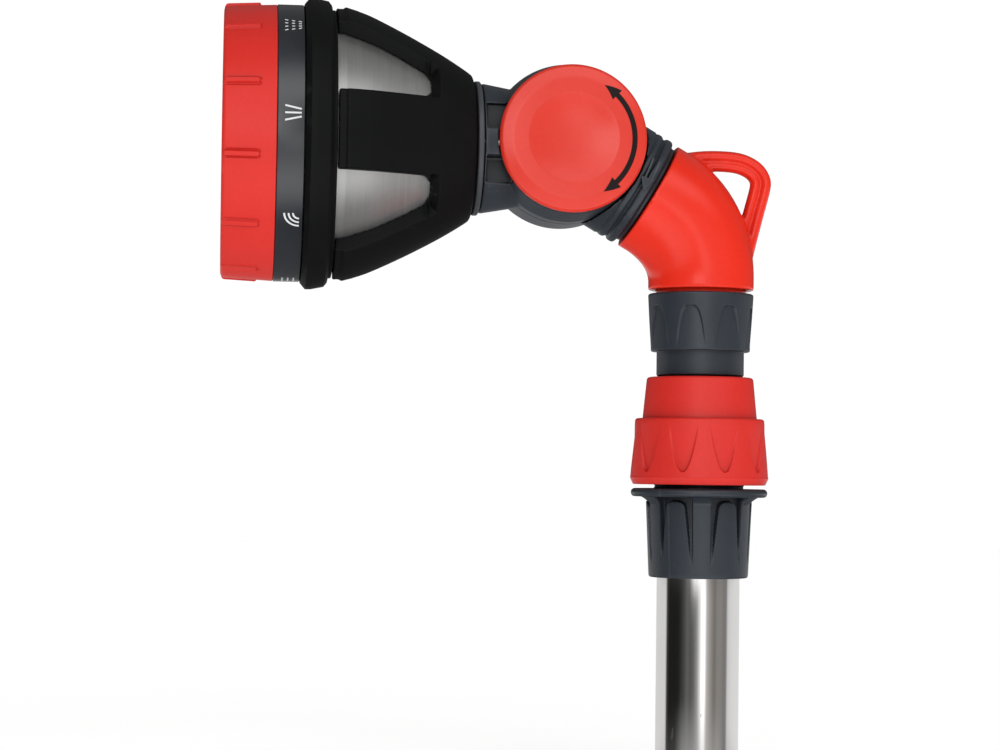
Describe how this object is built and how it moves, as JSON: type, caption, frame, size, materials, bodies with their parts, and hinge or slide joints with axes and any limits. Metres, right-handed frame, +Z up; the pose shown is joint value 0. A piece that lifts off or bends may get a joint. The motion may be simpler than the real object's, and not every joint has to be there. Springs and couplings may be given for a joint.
{
  "type": "watering lance spray head",
  "caption": "Garden watering lance head: multi-pattern dial head on a tilting knuckle, swivelling hooked elbow, quick coupler and clamp nut on a tube end.",
  "frame": {"origin": "middle of the bounding box in X and Y, on its lower face, which is the cut end of the tube", "axes": "+Z up along the tube, head pointing to -X, Y across the object"},
  "size_m": [0.1597, 0.0834, 0.225],
  "materials": {
    "chrome_tube": "polished chrome plate",
    "dark_plastic": "satin moulded plastic",
    "grey_plastic": "moulded plastic",
    "red_plastic": "satin moulded plastic",
    "orange_red_plastic": "satin gloss moulded plastic",
    "black_overmould": "matte soft overmould",
    "silver_shroud": "brushed",
    "seal_rubber": "moulded rubber",
    "steel_parts": "bright stainless",
    "dial_plastic": "gloss moulded plastic with white prints",
    "face_plastic": "satin moulded plastic"
  },
  "bodies": {
    "lance": {"lance_tube": "chrome_tube", "coupler_body": "dark_plastic", "coupler_grip": "red_plastic", "tube_seal": "seal_rubber", "sleeve_spring": "steel_parts"},
    "sleeve": {"release_sleeve": "red_plastic"},
    "jaw_1": {"locking_jaw_1": "grey_plastic"},
    "jaw_2": {"locking_jaw_2": "grey_plastic"},
    "jaw_3": {"locking_jaw_3": "grey_plastic"},
    "collet": {"collet_ring": "grey_plastic"},
    "nut": {"clamp_nut": "dark_plastic"},
    "elbow": {"elbow_pipe": "orange_red_plastic", "adaptor_nipple": "dark_plastic", "adaptor_flat_seal": "seal_rubber", "nipple_o_ring": "seal_rubber"},
    "neck": {"rear_knuckle": "dark_plastic", "swivel_o_ring_1": "seal_rubber", "swivel_o_ring_2": "seal_rubber", "swivel_clip": "steel_parts", "pivot_tube": "grey_plastic", "pivot_o_ring_front": "seal_rubber", "pivot_o_ring_rear": "seal_rubber", "pivot_washer": "steel_parts", "rear_cap": "red_plastic"},
    "head": {"front_knuckle": "dark_plastic", "front_cap": "red_plastic", "pivot_screw": "steel_parts", "head_core": "grey_plastic", "core_o_ring": "seal_rubber", "metal_shroud": "silver_shroud", "grip_cage": "black_overmould", "bumper_ring": "black_overmould", "seal_cup": "seal_rubber", "seal_spring": "steel_parts", "detent_ball": "steel_parts", "detent_coil": "steel_parts", "head_screw_1": "steel_parts", "head_screw_2": "steel_parts", "head_screw_3": "steel_parts"},
    "dial": {"dial_ring": "dial_plastic", "bezel_ring": "red_plastic", "spray_plate": "face_plastic", "pattern_manifold": "grey_plastic", "centre_screw": "steel_parts", "centre_washer": "steel_parts", "centre_cap": "red_plastic"}
  },
  "joints": [
    {"name": "coupling_swivel", "type": "hinge", "parent": "lance", "child": "elbow", "pos_m": [0.05973, 0, 0.118], "axis": [0, 0, 1], "continuous": true},
    {"name": "neck_swivel", "type": "hinge", "parent": "elbow", "child": "neck", "pos_m": [0.01943, 0, 0.1848], "axis": [0.866, 0, -0.5], "range_deg": [-90, 90]},
    {"name": "head_tilt", "type": "hinge", "parent": "neck", "child": "head", "pos_m": [0.01943, 0, 0.1848], "axis": [0, 1, 0], "range_deg": [-50, 90]},
    {"name": "pattern_dial", "type": "hinge", "parent": "head", "child": "dial", "pos_m": [-0.07057, 0, 0.1833], "axis": [-1, 0, 0], "continuous": true},
    {"name": "sleeve_release", "type": "slide", "parent": "lance", "child": "sleeve", "axis": [0, 0, 1], "range_m": [-0.003, 0], "stiffness_N_per_m": 400, "springref_m": 0.001, "deforming": ["sleeve_spring"]},
    {"name": "jaw_slide_1", "type": "slide", "parent": "lance", "child": "jaw_1", "axis": [0, 1, 0], "range_m": [0, 0.001]},
    {"name": "jaw_slide_2", "type": "slide", "parent": "lance", "child": "jaw_2", "axis": [-0.866, -0.5, 0], "range_m": [0, 0.001]},
    {"name": "jaw_slide_3", "type": "slide", "parent": "lance", "child": "jaw_3", "axis": [0.866, -0.5, 0], "range_m": [0, 0.001]},
    {"name": "collet_travel", "type": "slide", "parent": "lance", "child": "collet", "axis": [0, 0, 1], "range_m": [-0.003, 0]},
    {"name": "nut_turn", "type": "hinge", "parent": "collet", "child": "nut", "pos_m": [0.05973, 0, 0.07], "axis": [0, 0, 1], "range_deg": [-360, 0]}
  ],
  "couplings": [
    {"joint": "jaw_slide_1", "follows": "sleeve_release", "ratio": -0.33333},
    {"joint": "jaw_slide_2", "follows": "sleeve_release", "ratio": -0.33333},
    {"joint": "jaw_slide_3", "follows": "sleeve_release", "ratio": -0.33333}
  ]
}
